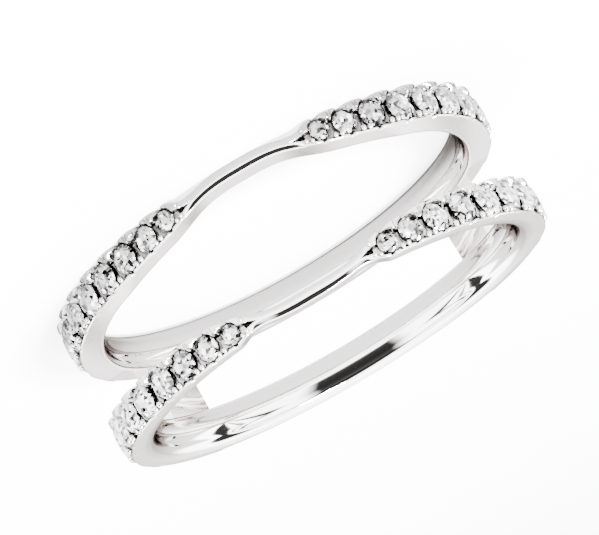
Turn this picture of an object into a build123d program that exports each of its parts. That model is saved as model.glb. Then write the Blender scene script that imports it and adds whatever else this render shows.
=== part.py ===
"""Ring guard enhancer: two gem-set bands, joined by two bridge bars, that hold another ring between them.

Millimetres. Z is the finger axis and the head of the ring faces -Y. The origin is the middle of the ring, on
the surface that it lies on. Angles run round the finger, from the head towards +X.
"""
from build123d import *
from math import atan, cos, degrees, radians, sin, tan
import os

os.makedirs("parts", exist_ok=True)

# Bands and bars
finger_radius = 8.65         # ring size 7, 17.3 mm across
band_gap = 2.58              # room for the other ring's shank
band_width = 1.84            # of each band, along the finger
wall_radius = 9.98           # outside of the smooth walls and of the narrow head
shank_radius = 10.20         # outside of the plain shank, where it starts
shank_back_radius = 9.98     # outside of the plain shank, at the back of the finger
shank_start = 131.0          # angle where the plain shank starts
shank_step_angle = 2.0       # turn over which the wall steps out to the shank
bar_start = 114.5            # angles of the bridge bars
bar_end = 131.0
bar_inner_radius = 8.95      # inside of the bars, where the rounded inner edges of the bands end
bar_radius = 9.65            # outside of the bars, below the other ring
bar_root = 0.10              # depth that a bar runs into each band
comfort_fillet = 0.30        # inner edges, against the finger
side_slope_radius = 9.50     # inside of this, a band's outer side slopes in to the finger
side_slope_depth = 0.17
front_lift_start = 2.00      # Y, in front of which a band's gap side stands back from the gap
front_lift_slope = 0.04
shank_fillet = 0.42          # outer edges of the plain shank
head_fillet = 0.12           # edges of the narrow head

# Stones and their setting
stone_diameters = (0.80, 1.00, 1.15, 1.28, 1.38, 1.45, 1.50, 1.52, 1.52, 1.52)
first_stone_angle = 19.8
stone_spacing = 0.22         # metal between two neighbours
girdle_radius = 10.05        # distance of a girdle from the finger axis
seat_clearance = 0.03
hump_radii = (10.28, 10.28, 10.28, 10.28, 10.28, 10.28, 10.28, 10.20, 10.12)  # metal between two stones
first_hump_radius = 10.20    # the same before the first stone
last_hump_radius = 10.06     # the same after the last stone
notch_radius = 9.90          # the wall beside a stone
end_hump_turn = 4.2          # degrees from the first stone to the end of its hump
last_hump_turn = 6.9         # the same for the last stone
channel_width = 0.34         # between the two rows of prongs
channel_radius = 9.97
split_side = 0.18            # side of the V groove that splits the metal between two stones in two

# Round brilliant of diameter 1
table_radius = 0.29
girdle_height = 0.03
crown_slope = 34.5           # degrees
star_slope = 20.0
pavilion_slope = 41.0
half_facet_end = 0.11        # radius at which two lower half facets meet

# Gap-side edge of a band near the head: distance from the middle, and how far it stands back from the gap
head_lift = (
    # x     lift
    (0.00, 1.30),
    (1.90, 1.17),
    (3.10, 0.80),
    (4.10, 0.60),
    (5.50, 0.42),
    (6.90, 0.26),
    (8.10, 0.12),
    (8.65, 0.00),
)
# Outer edge of a band near the head: distance from the middle, and how far it dips towards the gap
head_dip = (
    # x     dip
    (0.00, 0.00),
    (0.70, 0.01),
    (1.55, 0.10),
    (2.35, 0.21),
    (2.85, 0.13),
    (3.35, 0.00),
)

height = band_gap + 2 * band_width
middle_z = height / 2
gap_face_z = middle_z + band_gap / 2
cutter_reach = 12.0


def on_ring(radius, angle):
    """The point at this radius and angle round the finger."""
    return (radius * sin(radians(angle)), -radius * cos(radians(angle)))


def arc(start_radius, start, middle_radius, end_radius, end, side=1):
    """An arc round the finger, through the radius given for its middle angle, on one side of the head."""
    middle = side * (start + end) / 2
    return ThreePointArc(
        on_ring(start_radius, side * start), on_ring(middle_radius, middle), on_ring(end_radius, side * end)
    )


def mirrored(rows, base, sign):
    """Points of a symmetric edge in the XZ plane, from a table of distance from the middle and height."""
    left = [(-x, base + sign * rise) for x, rise in reversed(rows[1:])]
    return left + [(x, base + sign * rise) for x, rise in rows]


def lift_at(x, y):
    """How far a band's gap side stands back at this point in front."""
    front_lift = max(0.0, front_lift_slope * (front_lift_start - y))
    for (near_x, near_lift), (far_x, far_lift) in zip(head_lift, head_lift[1:]):
        if abs(x) <= far_x and y < 0:
            lift = near_lift + (far_lift - near_lift) * (abs(x) - near_x) / (far_x - near_x)
            return max(front_lift, lift)
    return front_lift


def stone_angles():
    """Angles of the stones on one side of the head."""
    angles = [first_stone_angle]
    for one, other in zip(stone_diameters, stone_diameters[1:]):
        step = (one + other) / 2 + stone_spacing
        angles.append(angles[-1] + degrees(step / girdle_radius))
    return angles


def seat_plane(angle, level=1):
    """The plane of a girdle, facing away from the finger. Level 1 is the upper band, -1 the lower one."""
    x, y = on_ring(girdle_radius, angle)
    z = middle_z + level * (band_gap + lift_at(x, y) + band_width) / 2
    outward = (sin(radians(angle)), -cos(radians(angle)), 0)
    along = (cos(radians(angle)), sin(radians(angle)), 0)
    return Plane(origin=(x, y, z), x_dir=along, z_dir=outward)


def facet_planes(count, turn, slope, reach, level, up):
    """Planes of a ring of facets, that lean by slope and pass through this reach and level."""
    for i in range(count):
        angle = radians(turn + 360 * i / count)
        lean = radians(slope)
        normal = (sin(lean) * cos(angle), sin(lean) * sin(angle), up * cos(lean))
        yield Plane(origin=(reach * cos(angle), reach * sin(angle), level), z_dir=normal)


def round_brilliant():
    """A cut stone of diameter 1, its girdle in the XY plane and its table up."""
    edge = 0.5
    half_girdle = girdle_height / 2
    eighth = cos(radians(22.5))
    sixteenth = cos(radians(11.25))
    crown = tan(radians(crown_slope))
    star = tan(radians(star_slope))
    pavilion = tan(radians(pavilion_slope))
    table_level = half_girdle + (edge - table_radius) * crown
    star_tip = table_radius * (crown - eighth * star) / (eighth * crown - star)
    upper_half = (edge - star_tip * eighth) * crown / ((edge - star_tip) * sixteenth)
    lower_half = (edge - half_facet_end * eighth) * pavilion / ((edge - half_facet_end) * sixteenth)
    cuts = [
        *facet_planes(8, 0, crown_slope, edge, half_girdle, 1),
        *facet_planes(16, 11.25, degrees(atan(upper_half)), edge * sixteenth, half_girdle, 1),
        *facet_planes(8, 22.5, star_slope, table_radius * eighth, table_level, 1),
        *facet_planes(8, 0, pavilion_slope, edge, -half_girdle, -1),
        *facet_planes(16, 11.25, degrees(atan(lower_half)), edge * sixteenth, -half_girdle, -1),
    ]
    with BuildPart() as stone:
        with BuildSketch(Plane.XY.offset(-edge)):
            RegularPolygon(edge, 16, rotation=0)
        extrude(amount=edge + table_level)
        for cut in cuts:
            split(bisect_by=cut, keep=Keep.BOTTOM)
    return stone.part


angles = stone_angles()
middles = [(near + far) / 2 for near, far in zip(angles, angles[1:])]
first_hump_start = angles[0] - end_hump_turn
last_hump_end = angles[-1] + last_hump_turn
shank_turn = shank_start + shank_step_angle

# Upper band: its scalloped outline seen along the finger
with BuildPart() as band:
    with BuildSketch(Plane.XY.offset(gap_face_z)):
        with BuildLine():
            arc(wall_radius, -first_hump_start, wall_radius, wall_radius, first_hump_start)
            for side in (-1, 1):
                arc(wall_radius, first_hump_start, first_hump_radius, notch_radius, angles[0], side)
                for near, far, hump_radius in zip(angles, angles[1:], hump_radii):
                    arc(notch_radius, near, hump_radius, notch_radius, far, side)
                arc(notch_radius, angles[-1], last_hump_radius, wall_radius, last_hump_end, side)
                arc(wall_radius, last_hump_end, wall_radius, wall_radius, shank_start, side)
                Line(on_ring(wall_radius, side * shank_start), on_ring(shank_radius, side * shank_turn))
            arc(shank_radius, shank_turn, shank_back_radius, shank_radius, 360 - shank_turn)
        make_face()
        Circle(finger_radius, mode=Mode.SUBTRACT)
    extrude(amount=band_width)

    # the outer side slopes in to the finger
    with BuildSketch(Plane.XZ):
        side_z = gap_face_z + band_width
        with BuildLine():
            Polyline((side_slope_radius, side_z), (finger_radius, side_z - side_slope_depth), (0, side_z - 1))
            Polyline((0, side_z - 1), (0, side_z + 1), (side_slope_radius, side_z + 1), (side_slope_radius, side_z))
        make_face()
    revolve(axis=Axis.Z, mode=Mode.SUBTRACT)
    bore_edges = band.edges().filter_by(GeomType.CIRCLE).filter_by(lambda e: e.is_closed)
    fillet(bore_edges, comfort_fillet)
    back_y = shank_back_radius * 0.95
    shank_edges = band.edges().filter_by(GeomType.CIRCLE).filter_by(lambda e: (e @ 0.5).Y > back_y)
    fillet(shank_edges, shank_fillet)

    # the gap side stands back in front, and more so at the narrow head, where the outer side dips at both ends
    with BuildSketch(Plane.YZ):
        with BuildLine():
            front_lift = front_lift_slope * (cutter_reach + front_lift_start)
            below = gap_face_z - 1
            Polyline((front_lift_start, gap_face_z), (-cutter_reach, gap_face_z + front_lift), (-cutter_reach, below))
            Polyline((-cutter_reach, below), (front_lift_start, below), (front_lift_start, gap_face_z))
        make_face()
    extrude(amount=cutter_reach, both=True, mode=Mode.SUBTRACT)
    with BuildSketch(Plane.XZ):
        with BuildLine():
            edge = mirrored(head_lift, gap_face_z, 1)
            Spline(edge, tangents=[(1, 0), (1, 0)])
            Polyline(edge[-1], (edge[-1][0], below), (edge[0][0], below), edge[0])
        make_face()
        with BuildLine():
            edge = mirrored(head_dip, gap_face_z + band_width, -1)
            Spline(edge, tangents=[(1, 0), (1, 0)])
            above = gap_face_z + band_width + 1
            Polyline(edge[-1], (edge[-1][0], above), (edge[0][0], above), edge[0])
        make_face()
    extrude(amount=cutter_reach, mode=Mode.SUBTRACT)
    head_front = 0.01 - wall_radius
    head_edges = band.edges().filter_by(lambda e: (e @ 0.5).Y < head_front)
    fillet(head_edges, head_fillet)

    # a seat for each stone
    for diameter, angle in zip(stone_diameters, angles):
        seat_radius = diameter / 2 + seat_clearance
        seat_level = -diameter * girdle_height
        seat_depth = seat_radius * tan(radians(pavilion_slope))
        seat_floor = Align.CENTER, Align.CENTER, Align.MIN
        seat_roof = Align.CENTER, Align.CENTER, Align.MAX
        with Locations(seat_plane(angle).offset(seat_level), seat_plane(-angle).offset(seat_level)):
            Cylinder(seat_radius, 1, align=seat_floor, mode=Mode.SUBTRACT)
            Cone(seat_clearance, seat_radius, seat_depth, align=seat_roof, mode=Mode.SUBTRACT)

    # between two stones, a channel parts the two rows of prongs and a groove splits each prong in two
    for middle, hump_radius in zip(middles, hump_radii):
        for turn in (middle, -middle):
            crest = seat_plane(turn)
            with Locations(crest.offset(channel_radius - girdle_radius)):
                Box(3 * stone_spacing, channel_width, 1, align=seat_floor, mode=Mode.SUBTRACT)
            with Locations(crest.offset(hump_radius - girdle_radius)):
                Box(split_side, 3 * band_width, split_side, rotation=(0, 45, 0), mode=Mode.SUBTRACT)

# All the metal: both bands and the bars between them, soldered into one
with BuildPart() as ring_metal:
    add(band.part)
    mirror(about=Plane.XY.offset(middle_z))
    with BuildSketch(Plane.XY.offset(middle_z - band_gap / 2 - bar_root)):
        for side in (-1, 1):
            with BuildLine():
                inner = arc(bar_inner_radius, bar_start, bar_inner_radius, bar_inner_radius, bar_end, side)
                outer = arc(bar_radius, bar_start, bar_radius, bar_radius, bar_end, side)
                Line(inner @ 0, outer @ 0)
                Line(inner @ 1, outer @ 1)
            make_face()
    extrude(amount=band_gap + 2 * bar_root)
ring_metal.part.label = "ring_metal"
export_step(ring_metal.part, "parts/ring_metal.step")

# The stones, each a piece of its own, numbered from the head to the shank
unit_stone = round_brilliant()
for level, band_name in ((1, "upper"), (-1, "lower")):
    for side, side_name in ((1, "right"), (-1, "left")):
        for number, (diameter, angle) in enumerate(zip(stone_diameters, angles), start=1):
            name = f"{band_name}_{side_name}_stone_{number:02d}"
            with BuildPart() as stone:
                with Locations(seat_plane(side * angle, level)):
                    add(scale(unit_stone, by=diameter, mode=Mode.PRIVATE))
            stone.part.label = name
            export_step(stone.part, f"parts/{name}.step")
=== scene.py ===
"""Looks for the ring guard: polished white-gold bands, cut stones, prongs, a pale floor and studio light.

Lengths are in millimetres until a mesh is made. Angles run round the finger, from the head (-Y) towards +X.
"""
import math

import bpy
import numpy as np
from mathutils import Matrix, Vector


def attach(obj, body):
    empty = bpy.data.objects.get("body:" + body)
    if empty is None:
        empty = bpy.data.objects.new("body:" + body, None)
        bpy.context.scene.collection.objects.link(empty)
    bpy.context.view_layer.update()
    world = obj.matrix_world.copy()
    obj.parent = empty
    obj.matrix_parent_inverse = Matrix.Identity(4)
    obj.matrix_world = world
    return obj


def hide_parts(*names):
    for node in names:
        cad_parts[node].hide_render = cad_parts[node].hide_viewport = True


MM = 0.001

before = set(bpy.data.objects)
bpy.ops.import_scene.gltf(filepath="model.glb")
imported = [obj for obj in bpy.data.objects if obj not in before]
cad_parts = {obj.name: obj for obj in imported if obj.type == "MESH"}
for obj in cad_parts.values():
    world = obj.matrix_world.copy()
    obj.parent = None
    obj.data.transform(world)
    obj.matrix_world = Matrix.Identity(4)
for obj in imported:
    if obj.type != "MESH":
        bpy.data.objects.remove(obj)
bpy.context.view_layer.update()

# ---- sizes that are the same in the part's source
finger_radius = 8.65
band_gap = 2.58
band_width = 1.84
wall_radius = 9.98
shank_radius = 10.20
shank_back_radius = 9.98
shank_start = 131.0
shank_step_angle = 2.0
bar_start = 114.5
bar_end = 131.0
bar_inner_radius = 8.95
bar_radius = 9.65
bar_root = 0.10
comfort_fillet = 0.30
side_slope_radius = 9.50
side_slope_depth = 0.17
front_lift_start = 2.00
front_lift_slope = 0.04
shank_fillet = 0.42

stone_diameters = (0.80, 1.00, 1.15, 1.28, 1.38, 1.45, 1.50, 1.52, 1.52, 1.52)
first_stone_angle = 19.8
stone_spacing = 0.22
girdle_radius = 10.05
seat_clearance = 0.03
hump_radii = (10.28, 10.28, 10.28, 10.28, 10.28, 10.28, 10.28, 10.20, 10.12)
first_hump_radius = 10.20
last_hump_radius = 10.06
notch_radius = 9.90
end_hump_turn = 4.2
last_hump_turn = 6.9
channel_width = 0.34
channel_radius = 9.97

head_lift_x = (0.00, 1.90, 3.10, 4.10, 5.50, 6.90, 8.10, 8.65)
head_lift = (1.30, 1.17, 0.80, 0.60, 0.42, 0.26, 0.12, 0.00)
head_dip_x = (0.00, 0.70, 1.55, 2.35, 2.85, 3.35)
head_dip = (0.00, 0.01, 0.10, 0.21, 0.13, 0.00)

# ---- sizes that only the scene has
# the inner face and the head's wire
comfort_depth = 0.16  # how far the inner face bulges to the finger
head_fillet = 0.07  # finer than the source's 0.12
wire_crown = 1.0  # share of the full arc across the wire
wire_slope = 52.0  # angle of that arc at its ends, degrees
# the edges beside the stones
hump_fullness = 3.0  # power of a hump between stones: more is flatter
worn_radius = 10.04  # level that a worn edge's humps are smoothed to
near_tip_radius = 10.10  # top of a worn edge's humps
valley_radius = 9.98  # floor between the two rims
rim_width = 0.10
far_rim_width = 0.30
far_rim_rise = 0.03  # the far rim stands this much over the humps
# the engraved cut before the first stone
cut_start = 12.4
cut_end = 16.0
cut_width = 0.28
cut_depth = 0.20
# the prong tips
tip_spread = 0.185  # from a hump's middle to each of its two tips
tip_in = 0.16  # from the band's side to a tip
tip_rise = 0.02  # of a tip over its hump
tip_size = (0.135, 0.16, 0.17)  # half sizes along the band, across it and outward
first_tip_turn = 3.3  # degrees before the first stone
first_tip_share = 0.6
last_tip_turn = 5.2  # degrees after the last stone
last_tip_rise = 0.06
last_tip_share = 0.9
# shape of the set part, in mm and mm per mm
worn_share = 0.8  # of the way from the humps to the level edge
worn_from, worn_to = 45.0, 65.0  # degrees
inward_slope = 1.8  # from a rim down to the valley
split_depth, far_split_depth = 0.13, 0.03
split_slope = 1.3
channel_slope = 2.5
seat_slope, seat_wall_slope = 0.95, 4
side_fillet = 0.05  # outer edges of the gem-set walls
head_gap_fillet, head_far_fillet = 0.10, 0.26  # inner edges of the head's wire
# painted shade: brightness painted into the metal's colour in the deep places, along thin dark lines, in the
# engraved cut and on the far rim, as a share of the open metal's
stroke_light = 0.10
stroke_half = 0.05  # half width of the stroke in the middle between two stones
side_stroke_place, side_stroke_half = 0.35, 0.035
far_line_light = 0.25
far_line_place, far_line_half = 0.07, 0.025
seat_light = 0.40
cut_light = 0.06
depth_light = 0.26
dark_radius, dark_span = 9.93, 0.16  # from darkest to brightest
far_rim_shade = 0.35
gold_color = (0.90, 0.870, 0.858, 1)
facet_cells_scale = 6500  # cells per metre
facet_tilt = 0.9
# tones of the painted facet reflections in the stones' base colour
painted_reflection_tones = ((0.0, 0.03), (0.08, 0.10), (0.19, 0.30), (0.32, 0.65), (0.44, 1.0))  # place, tone

height = band_gap + 2 * band_width
middle_z = height / 2
gap_face_z = middle_z + band_gap / 2


def natural_spline(xs, ys):
    """A smooth even curve through the points, level at its middle and at its far end."""
    xs, ys = np.array(xs, float), np.array(ys, float)
    n = len(xs)
    h = np.diff(xs)
    a = np.zeros((n, n))
    b = np.zeros(n)
    a[0, 0], a[0, 1], b[0] = 2 * h[0], h[0], 6 * (ys[1] - ys[0]) / h[0]
    a[-1, -1], a[-1, -2], b[-1] = 2 * h[-1], h[-1], -6 * (ys[-1] - ys[-2]) / h[-1]
    for i in range(1, n - 1):
        a[i, i - 1], a[i, i], a[i, i + 1] = h[i - 1], 2 * (h[i - 1] + h[i]), h[i]
        b[i] = 6 * ((ys[i + 1] - ys[i]) / h[i] - (ys[i] - ys[i - 1]) / h[i - 1])
    m = np.linalg.solve(a, b)

    def value(x):
        x = np.minimum(np.abs(x), xs[-1])
        i = np.clip(np.searchsorted(xs, x) - 1, 0, n - 2)
        u, v = xs[i + 1] - x, x - xs[i]
        k = h[i]
        return (
            m[i] * u**3 / (6 * k)
            + m[i + 1] * v**3 / (6 * k)
            + (ys[i] / k - m[i] * k / 6) * u
            + (ys[i + 1] / k - m[i + 1] * k / 6) * v
        )

    return value


lift_curve = natural_spline(head_lift_x, head_lift)
dip_curve = natural_spline(head_dip_x, head_dip)


def lift(x, y):
    front = np.maximum(front_lift_slope * (front_lift_start - y), 0.0)
    return np.maximum(front, np.where(y < 0, lift_curve(x), 0.0))


def dip(x, y):
    return np.where(y < 0, dip_curve(x), 0.0)


def smooth(edge0, edge1, value):
    t = np.clip((value - edge0) / (edge1 - edge0), 0, 1)
    return t * t * (3 - 2 * t)


stone_angles = [first_stone_angle]
for one, other in zip(stone_diameters, stone_diameters[1:]):
    step = (one + other) / 2 + stone_spacing
    stone_angles.append(stone_angles[-1] + math.degrees(step / girdle_radius))
hump_angles = [(near + far) / 2 for near, far in zip(stone_angles, stone_angles[1:])]
first_hump_start = stone_angles[0] - end_hump_turn
last_hump_end = stone_angles[-1] + last_hump_turn


def edge_radius(turn, worn):
    """Outer radius of a band at an edge, for turns from 0 to 180 degrees.

    A worn edge is smoother at the sides.
    """
    radius = np.full_like(turn, wall_radius)
    # the humps between stones
    spans = [(first_hump_start, wall_radius, stone_angles[0], notch_radius, first_hump_radius)]
    for near, far, tip in zip(stone_angles, stone_angles[1:], hump_radii):
        spans.append((near, notch_radius, far, notch_radius, tip))
    spans.append((stone_angles[-1], notch_radius, last_hump_end, wall_radius, last_hump_radius))
    for start, low, end, high, tip in spans:
        u = (turn - start) / (end - start)
        inside = (u >= 0) & (u <= 1)
        chord = low + (high - low) * u
        hump = chord + (tip - (low + high) / 2) * (1 - np.abs(2 * u - 1) ** hump_fullness)
        radius = np.where(inside, hump, radius)
    if worn:
        radius = np.minimum(radius, near_tip_radius)
        level_edge = np.where((turn > 40) & (turn < last_hump_end), worn_radius, radius)
        radius = radius + (level_edge - radius) * worn_share * smooth(worn_from, worn_to, turn)
    else:
        radius = radius + far_rim_rise * (radius > wall_radius + 0.1)
    # the plain shank: an arc through its two start points and the back
    step_end = shank_start + shank_step_angle
    x1 = shank_radius * math.sin(math.radians(step_end))
    y1 = -shank_radius * math.cos(math.radians(step_end))
    y2 = shank_back_radius
    centre = (x1 * x1 + y1 * y1 - y2 * y2) / (2 * (y1 - y2))
    arc = abs(y2 - centre)
    t = np.radians(turn)
    along = -centre * np.cos(t)
    shank = along + np.sqrt(np.maximum(along**2 - centre**2 + arc**2, 0))
    rise = smooth(shank_start, step_end, turn)
    return np.where(turn > shank_start, wall_radius + (shank - wall_radius) * rise, radius)


def surface_radius(turn, w, half_width, edge, rim):
    """Outer radius and painted light at a distance w from the middle of the band.

    They show the seats, channels, split prongs and engraved cut. The far edge has the wider rim. The painted
    light is shade painted into the metal's colour: darker where the surface lies deep, on the far rim and in
    the cut, with thin painted dark lines between and round the stones.
    """
    far = rim > rim_width
    radius = edge.copy()
    inward = np.maximum(half_width - rim - np.abs(w), 0)
    shade_lines = np.ones_like(turn)
    valley = np.maximum(edge - inward_slope * inward, valley_radius)
    set_part = smooth(first_hump_start - 0.5, first_hump_start + 1.0, turn)
    set_part = set_part * (1 - smooth(last_hump_end - 3.0, last_hump_end, turn))
    radius = radius + (np.minimum(radius, valley) - radius) * set_part
    for middle, hump_radius in zip(hump_angles, hump_radii):
        s = np.abs(np.radians(turn - middle) * girdle_radius)
        near = s < 3 * stone_spacing
        if far:
            # painted shade: a thin dark line on the far edge beside each prong
            shade_lines = np.where(np.abs(s - far_line_place) < far_line_half, far_line_light, shade_lines)
        else:
            # painted shade: dark strokes between the twin prong tips and between the tips and the stones
            stroke = (s < stroke_half) | (np.abs(s - side_stroke_place) < side_stroke_half)
            stroke = stroke & (np.abs(w) < half_width - side_fillet)
            shade_lines = np.where(stroke, stroke_light, shade_lines)
        split = hump_radius - (far_split_depth if far else split_depth) + split_slope * s
        channel = channel_radius + channel_slope * np.maximum(np.abs(w) - channel_width / 2, 0)
        radius = np.where(near, np.minimum(radius, split), radius)
        radius = np.where(s < 1.5 * stone_spacing, np.minimum(radius, channel), radius)
    spread = np.clip((turn - cut_start) / (cut_end - cut_start), 0, 1)
    spread = np.where(turn < cut_end, spread, 0)
    reach = np.maximum(spread * cut_width / 2, 1e-6)
    cut = cut_depth * spread * np.clip(1 - np.abs(w) / reach, 0, 1)
    radius = radius - cut
    for diameter, angle in zip(stone_diameters, stone_angles):
        seat = diameter / 2 + seat_clearance
        s = np.radians(turn - angle) * girdle_radius
        rho = np.hypot(s, w)
        # painted shade: a dark ring round each stone's seat
        shade_lines = np.where((rho > seat - 0.02) & (rho < seat + 0.04), seat_light, shade_lines)
        cone = girdle_radius - (seat - rho) * seat_slope
        wall = girdle_radius + (rho - seat) * seat_wall_slope
        bound = np.where(rho < seat, cone, wall)
        radius = np.minimum(radius, np.where(rho < seat + 0.3, bound, 99.0))
    # painted shade: darker the deeper the surface lies, darker on the far rim, near black in the engraved
    # cut
    light = 1 - set_part * (1 - np.clip((radius - dark_radius) / dark_span, depth_light, 1))
    if far:
        light = light * (1 - far_rim_shade * set_part)
    return radius, light * shade_lines * np.where(cut > 0.25 * cut_depth, cut_light, 1)


def angle_steps():
    """Angles round a band, close together where it is set with stones."""
    runs = (
        # end    step
        (12.0, 0.6),
        (stone_angles[-1] + 8.0, 0.26),
        (shank_start - 2.0, 1.0),
        (shank_start + 5.0, 0.33),
        (180.0, 1.5),
    )
    half = [0.0]
    for end, step in runs:
        count = max(1, round((end - half[-1]) / step))
        half += list(np.linspace(half[-1], end, count + 1)[1:])
    half = np.array(half)
    return np.concatenate([half, -half[-2:0:-1]])


def band_mesh(name, level):
    """One band as a closed sweep. Level 1 is the upper band, -1 the lower one."""
    theta = angle_steps()
    turn = np.abs(theta)
    t = np.radians(theta)
    edges = (edge_radius(turn, level < 0), edge_radius(turn, level > 0))  # gap side, outer side
    head = 1 - smooth(10.0, 30.0, turn)
    shank = smooth(shank_start, shank_start + shank_step_angle + 1.0, turn)
    wire = 1 - smooth(13.0, 17.0, turn)
    outer_fillet = side_fillet + (head_fillet - side_fillet) * wire + (shank_fillet - side_fillet) * shank
    inner_gap_fillet = comfort_fillet + (head_gap_fillet - comfort_fillet) * head
    inner_far_fillet = comfort_fillet + (head_far_fillet - comfort_fillet) * head

    rings, painted_light = [], []

    def put(radius, share, gap_inset, far_inset, light=None):
        """Add one line of points round the band: share 0 is the gap side, 1 the outer side."""
        painted_light.append(np.ones_like(t) if light is None else light)
        x, y = radius * np.sin(t), -radius * np.cos(t)
        slope = np.clip((side_slope_radius - radius) / (side_slope_radius - finger_radius), 0, 1)
        low = gap_face_z + lift(x, y) + gap_inset
        high = gap_face_z + band_width - dip(x, y) - slope * side_slope_depth - far_inset
        rings.append((x, y, low + (high - low) * share))

    zero = np.zeros_like(t)
    bulge = comfort_depth * smooth(20.0, 60.0, turn)
    inner = finger_radius + bulge
    # the section is drawn in order: inner face, outer side, outer face and gap side
    for f in np.linspace(0, 1, 17):
        put(inner - bulge * (1 - (2 * f - 1) ** 2), f, inner_gap_fillet, inner_far_fillet)
    for a in np.radians(np.linspace(0, 90, 7)[1:]):
        put(inner + inner_far_fillet * (1 - math.cos(a)), 1.0, zero, inner_far_fillet * (1 - math.sin(a)))
    start = inner + inner_far_fillet
    x, y = wall_radius * np.sin(t), -wall_radius * np.cos(t)
    half_width = (band_width - lift(x, y) - dip(x, y)) / 2
    crown = wire_crown * (1 - smooth(11.0, 17.0, turn))
    arc = half_width / math.sin(math.radians(wire_slope))

    def crowned(w):
        return crown * (arc - np.sqrt(arc**2 - w**2))

    ends = [edge - outer_fillet - crowned(half_width - outer_fillet) for edge in edges]
    for f in np.linspace(0, 1, 9)[1:]:
        put(start + (ends[1] - start) * f, 1.0, zero, zero)
    for a in np.radians(np.linspace(0, 90, 6)[1:]):
        put(ends[1] + outer_fillet * math.sin(a), 1.0, zero, outer_fillet * (1 - math.cos(a)))
    for f in np.linspace(1, 0, 44)[1:-1]:
        w = (2 * f - 1) * (half_width - outer_fillet)
        edge = edges[0] + (edges[1] - edges[0]) * smooth(0.3, 0.7, f)
        rim = far_rim_width if (2 * f - 1) * level < 0 else rim_width
        radius, light = surface_radius(turn, w, half_width, edge, rim)
        put(radius - crowned(w), f, outer_fillet, outer_fillet, light)
    for a in np.radians(np.linspace(90, 0, 6)):
        put(ends[0] + outer_fillet * math.sin(a), 0.0, outer_fillet * (1 - math.cos(a)), zero)
    start = inner + inner_gap_fillet
    for f in np.linspace(1, 0, 9)[1:]:
        put(start + (ends[0] - start) * f, 0.0, zero, zero)
    for a in np.radians(np.linspace(90, 0, 7)[1:-1]):
        put(inner + inner_gap_fillet * (1 - math.cos(a)), 0.0, inner_gap_fillet * (1 - math.sin(a)), zero)

    points = np.array(rings).transpose(2, 0, 1)  # angle, section, xyz
    points[..., 2] = middle_z + level * (points[..., 2] - middle_z)
    count, section = points.shape[:2]
    index = np.arange(count * section).reshape(count, section)
    following = np.roll(index, -1, axis=0)
    quads = np.stack([index, np.roll(index, -1, 1), np.roll(following, -1, 1), following], -1).reshape(-1, 4)
    if level < 0:
        quads = quads[:, ::-1]
    return make_object(name, points.reshape(-1, 3), quads, np.array(painted_light).T.reshape(-1))


def make_object(name, points, faces, painted_light=None, sharp_angle=40):
    """A mesh from points in mm. Its painted light is 1 on open metal and small where shade is painted deep
    between the stones.
    """
    mesh = bpy.data.meshes.new(name)
    mesh.from_pydata((np.asarray(points) * MM).tolist(), [], [[int(i) for i in face] for face in faces])
    mesh.update()
    layer = mesh.attributes.new("painted_light", "FLOAT", "POINT")
    layer.data.foreach_set("value", np.ones(len(points)) if painted_light is None else np.asarray(painted_light, float))
    mesh.shade_smooth()
    mesh.set_sharp_from_angle(angle=math.radians(sharp_angle))
    thing = bpy.data.objects.new(name, mesh)
    bpy.context.scene.collection.objects.link(thing)
    return thing


def bar_mesh(name, side):
    """One bridge bar between the bands. Its faces point inward."""
    angles = side * np.radians(np.linspace(bar_start, bar_end, 13))
    low, high = middle_z - band_gap / 2 - bar_root, middle_z + band_gap / 2 + bar_root
    corners = ((bar_inner_radius, low), (bar_radius, low), (bar_radius, high), (bar_inner_radius, high))
    points = [(r * math.sin(a), -r * math.cos(a), z) for a in angles for r, z in corners]
    faces = []
    for i in range(len(angles) - 1):
        for j in range(4):
            k = (j + 1) % 4
            faces.append((4 * i + j, 4 * i + k, 4 * i + 4 + k, 4 * i + 4 + j))
    last = 4 * (len(angles) - 1)
    faces += [(3, 2, 1, 0), (last, last + 1, last + 2, last + 3)]
    if side < 0:
        faces = [f[::-1] for f in faces]
    return make_object(name, points, faces)


def prong_places():
    """Turn, height and size of each pair of prong tips on one side of the head."""
    smallest, largest = stone_diameters[0], stone_diameters[-1]
    shares = [0.7 + 0.3 * (diameter - smallest) / (largest - smallest) for diameter in stone_diameters]
    places = list(zip(hump_angles, hump_radii, shares))
    places.append((stone_angles[0] - first_tip_turn, first_hump_radius, first_tip_share))
    places.append((stone_angles[-1] + last_tip_turn, last_hump_radius + last_tip_rise, last_tip_share))
    return places


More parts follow.
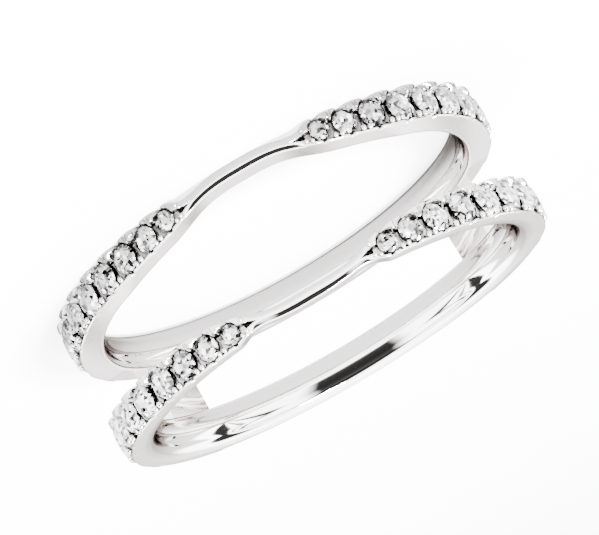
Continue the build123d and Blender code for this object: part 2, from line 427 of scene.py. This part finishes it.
def tip_mesh(name, level):
    """The rounded tips of the split prongs on one band, as closed domes.

    Between stones and after the last there are two at the near edge. Before the first there are two at
    each edge.
    """
    rings, segments = 6, 14
    points, faces, painted_light = [], [], []

    def dome(centre, along, out, size, flip):
        first = len(points)
        spots = []
        for i in range(rings):
            a = math.radians(-20 + 110 * i / rings)
            for j in range(segments):
                b = 2 * math.pi * j / segments
                across = np.array([0, 0, size[1] * math.cos(a) * math.sin(b)])
                lengthwise = along * size[0] * math.cos(a) * math.cos(b)
                spots.append(centre + lengthwise + across + out * size[2] * math.sin(a))
                # painted shade: each tip is painted near black at its foot, brightening to full light a few
                # rings up
                painted_light.append(min(1.0, 0.04 + i * i / 6))
        spots.append(centre + out * size[2])
        painted_light.append(1.0)
        for spot in spots:
            points.append((spot[0], spot[1], middle_z + level * (spot[2] - middle_z)))
        new = [tuple(range(segments))]
        for i in range(rings):
            for j in range(segments):
                k = (j + 1) % segments
                low, low_next = i * segments + j, i * segments + k
                if i == rings - 1:
                    new.append((low, rings * segments, low_next))
                else:
                    new.append((low, low + segments, low_next + segments, low_next))
        for face in new:
            face = [first + index for index in face]
            faces.append(face[::-1] if flip else face)

    for middle, tip, share in prong_places():
        for side in (1, -1):
            for edge in (0, 1):
                if edge == (level < 0) and middle > stone_angles[0]:
                    continue  # the far edge has one full prong there
                for twin in (-1, 1):
                    t = side * math.radians(middle + twin * math.degrees(tip_spread * share / girdle_radius))
                    out = np.array([math.sin(t), -math.cos(t), 0.0])
                    along = np.array([math.cos(t), math.sin(t), 0.0])
                    x, y = tip * out[0], tip * out[1]
                    low = gap_face_z + float(lift(x, y)) + tip_in
                    high = gap_face_z + band_width - float(dip(x, y)) - tip_in
                    size = np.array(tip_size) * share
                    centre = (tip + tip_rise - size[2]) * out + np.array([0, 0, high if edge else low])
                    dome(centre, along, out, size, level > 0)
    return make_object(name, points, faces, painted_light, 80)


# ---- materials
def principled(name, **values):
    """A new material and its shader, with these values on the shader's sockets."""
    material = bpy.data.materials.new(name)
    material.use_nodes = True
    shader = material.node_tree.nodes["Principled BSDF"]
    for key, value in values.items():
        shader.inputs[key].default_value = value
    return material, shader


def white_gold():
    """Polished white gold, with shade painted into its colour where the mesh's painted light is small."""
    material, shader = principled(
        "white_gold",
        **{"Base Color": gold_color, "Metallic": 1.0, "Specular Tint": (0.30, 0.28, 0.27, 1)},
    )
    nodes, links = material.node_tree.nodes, material.node_tree.links
    coordinates = nodes.new("ShaderNodeTexCoord")
    noise = nodes.new("ShaderNodeTexNoise")
    noise.inputs["Scale"].default_value = 900
    noise.inputs["Detail"].default_value = 3
    links.new(coordinates.outputs["Object"], noise.inputs["Vector"])
    spread = nodes.new("ShaderNodeMapRange")
    spread.inputs["To Min"].default_value = 0.03
    spread.inputs["To Max"].default_value = 0.07
    links.new(noise.outputs["Fac"], spread.inputs["Value"])
    # the flat sides are a little softer than the round faces
    upright = nodes.new("ShaderNodeSeparateXYZ")
    links.new(coordinates.outputs["Normal"], upright.inputs[0])
    flat = nodes.new("ShaderNodeMath")
    flat.operation = "ABSOLUTE"
    links.new(upright.outputs["Z"], flat.inputs[0])
    softer = nodes.new("ShaderNodeMapRange")
    softer.inputs["From Min"].default_value = 0.93
    softer.inputs["From Max"].default_value = 0.99
    softer.inputs["To Max"].default_value = 0.22
    links.new(flat.outputs[0], softer.inputs["Value"])
    roughness = nodes.new("ShaderNodeMath")
    roughness.operation = "ADD"
    links.new(spread.outputs["Result"], roughness.inputs[0])
    links.new(softer.outputs["Result"], roughness.inputs[1])
    links.new(roughness.outputs[0], shader.inputs["Roughness"])
    # painted shade: the colour runs from black to the gold's own colour as the mesh's painted light rises
    painted_light = nodes.new("ShaderNodeAttribute")
    painted_light.attribute_name = "painted_light"
    tone = nodes.new("ShaderNodeMix")
    tone.data_type = "RGBA"
    tone.inputs["A"].default_value = (0.0, 0.0, 0.0, 1)
    tone.inputs["B"].default_value = gold_color
    links.new(painted_light.outputs["Fac"], tone.inputs["Factor"])
    links.new(tone.outputs["Result"], shader.inputs["Base Color"])
    return material


def cut_diamond():
    """Clear stone. Small flat cells stand for the many facets that one sees through the crown: each cell has
    a tone from near black to white painted into the base colour as a painted reflection, and a tilted
    normal.
    """
    values = {
        "Base Color": (1, 1, 1, 1),
        "Roughness": 0.0,
        "IOR": 2.42,
        "Transmission Weight": 1.0,
        "Metallic": 0.8,
    }
    material, shader = principled("diamond", **values)
    nodes, links = material.node_tree.nodes, material.node_tree.links
    coordinates = nodes.new("ShaderNodeTexCoord")
    cells = nodes.new("ShaderNodeTexVoronoi")
    cells.inputs["Scale"].default_value = facet_cells_scale
    links.new(coordinates.outputs["Object"], cells.inputs["Vector"])
    one_each = nodes.new("ShaderNodeSeparateColor")
    links.new(cells.outputs["Color"], one_each.inputs["Color"])
    # painted reflections: each cell's tone, near black to white, painted into the clear stone's base colour
    painted_reflections = nodes.new("ShaderNodeValToRGB")
    stops = painted_reflections.color_ramp.elements
    painted_reflections.color_ramp.interpolation = "CONSTANT"
    stops.remove(stops[1])
    for i, (position, tone) in enumerate(painted_reflection_tones):
        stop = stops[0] if i == 0 else stops.new(position)
        stop.position = position
        stop.color = (tone, tone, tone, 1)
    links.new(one_each.outputs["Red"], painted_reflections.inputs["Fac"])
    links.new(painted_reflections.outputs["Color"], shader.inputs["Base Color"])
    centred = nodes.new("ShaderNodeVectorMath")
    centred.operation = "SUBTRACT"
    centred.inputs[1].default_value = (0.5, 0.5, 0.5)
    links.new(cells.outputs["Color"], centred.inputs[0])
    scaled = nodes.new("ShaderNodeVectorMath")
    scaled.operation = "SCALE"
    scaled.inputs["Scale"].default_value = facet_tilt
    links.new(centred.outputs[0], scaled.inputs[0])
    geometry = nodes.new("ShaderNodeNewGeometry")
    tilted = nodes.new("ShaderNodeVectorMath")
    tilted.operation = "ADD"
    links.new(geometry.outputs["Normal"], tilted.inputs[0])
    links.new(scaled.outputs[0], tilted.inputs[1])
    unit = nodes.new("ShaderNodeVectorMath")
    unit.operation = "NORMALIZE"
    links.new(tilted.outputs[0], unit.inputs[0])
    links.new(unit.outputs[0], shader.inputs["Normal"])
    return material


gold = white_gold()
diamond = cut_diamond()

metal_pieces = [
    band_mesh("upper_band", 1),
    band_mesh("lower_band", -1),
    bar_mesh("right_bar", 1),
    bar_mesh("left_bar", -1),
    tip_mesh("upper_prong_tips", 1),
    tip_mesh("lower_prong_tips", -1),
]
for piece in metal_pieces:
    piece.data.materials.append(gold)
    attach(piece, "root")
    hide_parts("ring_metal")

for name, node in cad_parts.items():
    if "stone" in name:
        node.data.materials.clear()
        node.data.materials.append(diamond)

# ---- floor, light and camera
bpy.ops.mesh.primitive_plane_add(size=4, location=(0, 0, 0))
floor = bpy.context.object
floor.name = "floor"
floor_glow = 4.0
# The floor glows white for the camera alone. In reflections it is grey, with a painted shadow that makes it
# darker under the ring.
floor_material, floor_shader = principled("floor", **{"Roughness": 0.9})
floor_shader.inputs["Emission Color"].default_value = (1, 1, 1, 1)
floor_nodes, floor_links = floor_material.node_tree.nodes, floor_material.node_tree.links
ray = floor_nodes.new("ShaderNodeLightPath")
glow = floor_nodes.new("ShaderNodeMath")
glow.operation = "MULTIPLY"
glow.inputs[1].default_value = floor_glow
floor_links.new(ray.outputs["Is Camera Ray"], glow.inputs[0])
floor_links.new(glow.outputs[0], floor_shader.inputs["Emission Strength"])
# painted shadow: in reflections the floor's colour darkens towards the ring
floor_spot = floor_nodes.new("ShaderNodeTexCoord")
distance_out = floor_nodes.new("ShaderNodeVectorMath")
distance_out.operation = "LENGTH"
floor_links.new(floor_spot.outputs["Object"], distance_out.inputs[0])
painted_floor_shadow = floor_nodes.new("ShaderNodeMapRange")
painted_floor_shadow.inputs["From Min"].default_value = 0.014
painted_floor_shadow.inputs["From Max"].default_value = 0.034
painted_floor_shadow.inputs["To Min"].default_value = 0.22
painted_floor_shadow.inputs["To Max"].default_value = 0.60
floor_links.new(distance_out.outputs["Value"], painted_floor_shadow.inputs["Value"])
own_tone = floor_nodes.new("ShaderNodeMix")
own_tone.inputs["B"].default_value = 0.92
floor_links.new(ray.outputs["Is Camera Ray"], own_tone.inputs["Factor"])
floor_links.new(painted_floor_shadow.outputs["Result"], own_tone.inputs["A"])
floor_links.new(own_tone.outputs["Result"], floor_shader.inputs["Base Color"])
floor.data.materials.append(floor_material)

# Brightness of the studio by direction, from behind the ring (0) over the top (90) to in front of it (180),
# in the middle and towards its left and right.
# The narrow dark bands are what gives polished metal its streaks and the stones their contrast.
sky_middle = (
    # angle  brightness
    (0, 2.9),
    (22, 3.2),
    (31, 12.0),
    (60, 12.0),
    (66, 9.0),
    (112, 9.0),
    (117, 1.2),
    (122, 0.12),
    (140, 0.03),
    (160, 0.06),
    (167, 0.5),
    (171, 9.0),
    (180, 9.0),
)
sky_sides = (
    (0, 2.9),
    (22, 3.2),
    (31, 12.0),
    (50, 12.0),
    (53, 0.8),
    (57, 0.05),
    (78, 0.05),
    (83, 0.5),
    (86, 9.0),
    (96, 9.0),
    (99, 0.7),
    (104, 0.7),
    (107, 9.0),
    (118, 9.0),
    (122, 0.12),
    (130, 0.12),
    (134, 9.0),
    (180, 9.0),
)
sky_top = 12.0
world = bpy.data.worlds.new("studio")
bpy.context.scene.world = world
world.use_nodes = True
nodes, links = world.node_tree.nodes, world.node_tree.links
direction = nodes.new("ShaderNodeTexCoord")
parts = nodes.new("ShaderNodeSeparateXYZ")
links.new(direction.outputs["Generated"], parts.inputs[0])
sky_angle = nodes.new("ShaderNodeMath")
sky_angle.operation = "ARCTAN2"
links.new(parts.outputs["Z"], sky_angle.inputs[0])
links.new(parts.outputs["Y"], sky_angle.inputs[1])
half_turns = nodes.new("ShaderNodeMath")
half_turns.operation = "MULTIPLY"
half_turns.inputs[1].default_value = 1 / math.pi
links.new(sky_angle.outputs[0], half_turns.inputs[0])


def brightness_ramp(rows):
    """A colour ramp from rows of angle and brightness, over half a turn."""
    ramp = nodes.new("ShaderNodeValToRGB")
    stops = ramp.color_ramp.elements
    stops.remove(stops[1])
    for i, (position, brightness) in enumerate(rows):
        stop = stops[0] if i == 0 else stops.new(position / 180)
        stop.position = position / 180
        stop.color = [brightness / sky_top] * 3 + [1]
    return ramp


middle_ramp = brightness_ramp(sky_middle)
side_ramp = brightness_ramp(sky_sides)
links.new(half_turns.outputs[0], middle_ramp.inputs[0])
links.new(half_turns.outputs[0], side_ramp.inputs[0])
aside = nodes.new("ShaderNodeMath")
aside.operation = "ABSOLUTE"
links.new(parts.outputs["X"], aside.inputs[0])
change = nodes.new("ShaderNodeMapRange")
change.interpolation_type = "SMOOTHSTEP"
change.inputs["From Min"].default_value = 0.38
change.inputs["From Max"].default_value = 0.62
links.new(aside.outputs[0], change.inputs["Value"])
both = nodes.new("ShaderNodeMix")
both.data_type = "RGBA"
links.new(change.outputs["Result"], both.inputs["Factor"])
links.new(middle_ramp.outputs["Color"], both.inputs["A"])
links.new(side_ramp.outputs["Color"], both.inputs["B"])
background = nodes["Background"]
links.new(both.outputs["Result"], background.inputs["Color"])
background.inputs["Strength"].default_value = sky_top

key_position = Vector((-0.10, -0.12, 0.30))
key_target = Vector((0, 0, 0.003))
key_data = bpy.data.lights.new("key", "AREA")
key_data.shape = "SQUARE"
key_data.size = 0.10
key_data.energy = 9.0
key = bpy.data.objects.new("key", key_data)
bpy.context.scene.collection.objects.link(key)
key.location = key_position
key.rotation_euler = (key_target - key_position).to_track_quat("-Z", "Y").to_euler()

# Camera: in front of the head and above, rolled over as in the photograph. Lengths are in mm.
elevation = math.radians(14.55)
roll = math.radians(149.49)
distance = 75.0
pixels_per_mm = 23.29
focal_pixels = pixels_per_mm * distance
picture_width = 599
sensor_width = 36
offset_x, offset_y = 0.28, -0.69
back = Vector((0, -math.cos(elevation), math.sin(elevation)))
right = Vector((1, 0, 0))
up = back.cross(right)
camera_x = math.cos(roll) * right + math.sin(roll) * up
camera_y = -math.sin(roll) * right + math.cos(roll) * up
camera_place = Vector((0, 0, middle_z)) + back * distance - camera_x * offset_x - camera_y * offset_y
camera_data = bpy.data.cameras.new("camera")
camera_data.sensor_fit = "HORIZONTAL"
camera_data.sensor_width = sensor_width
camera_data.lens = sensor_width * focal_pixels / picture_width
camera_data.clip_start = 0.001
camera_data.clip_end = 20
camera = bpy.data.objects.new("camera", camera_data)
bpy.context.scene.collection.objects.link(camera)
camera_axes = Matrix((camera_x, camera_y, back)).transposed()
camera.matrix_world = Matrix.Translation(camera_place * MM) @ camera_axes.to_4x4()
bpy.context.scene.camera = camera
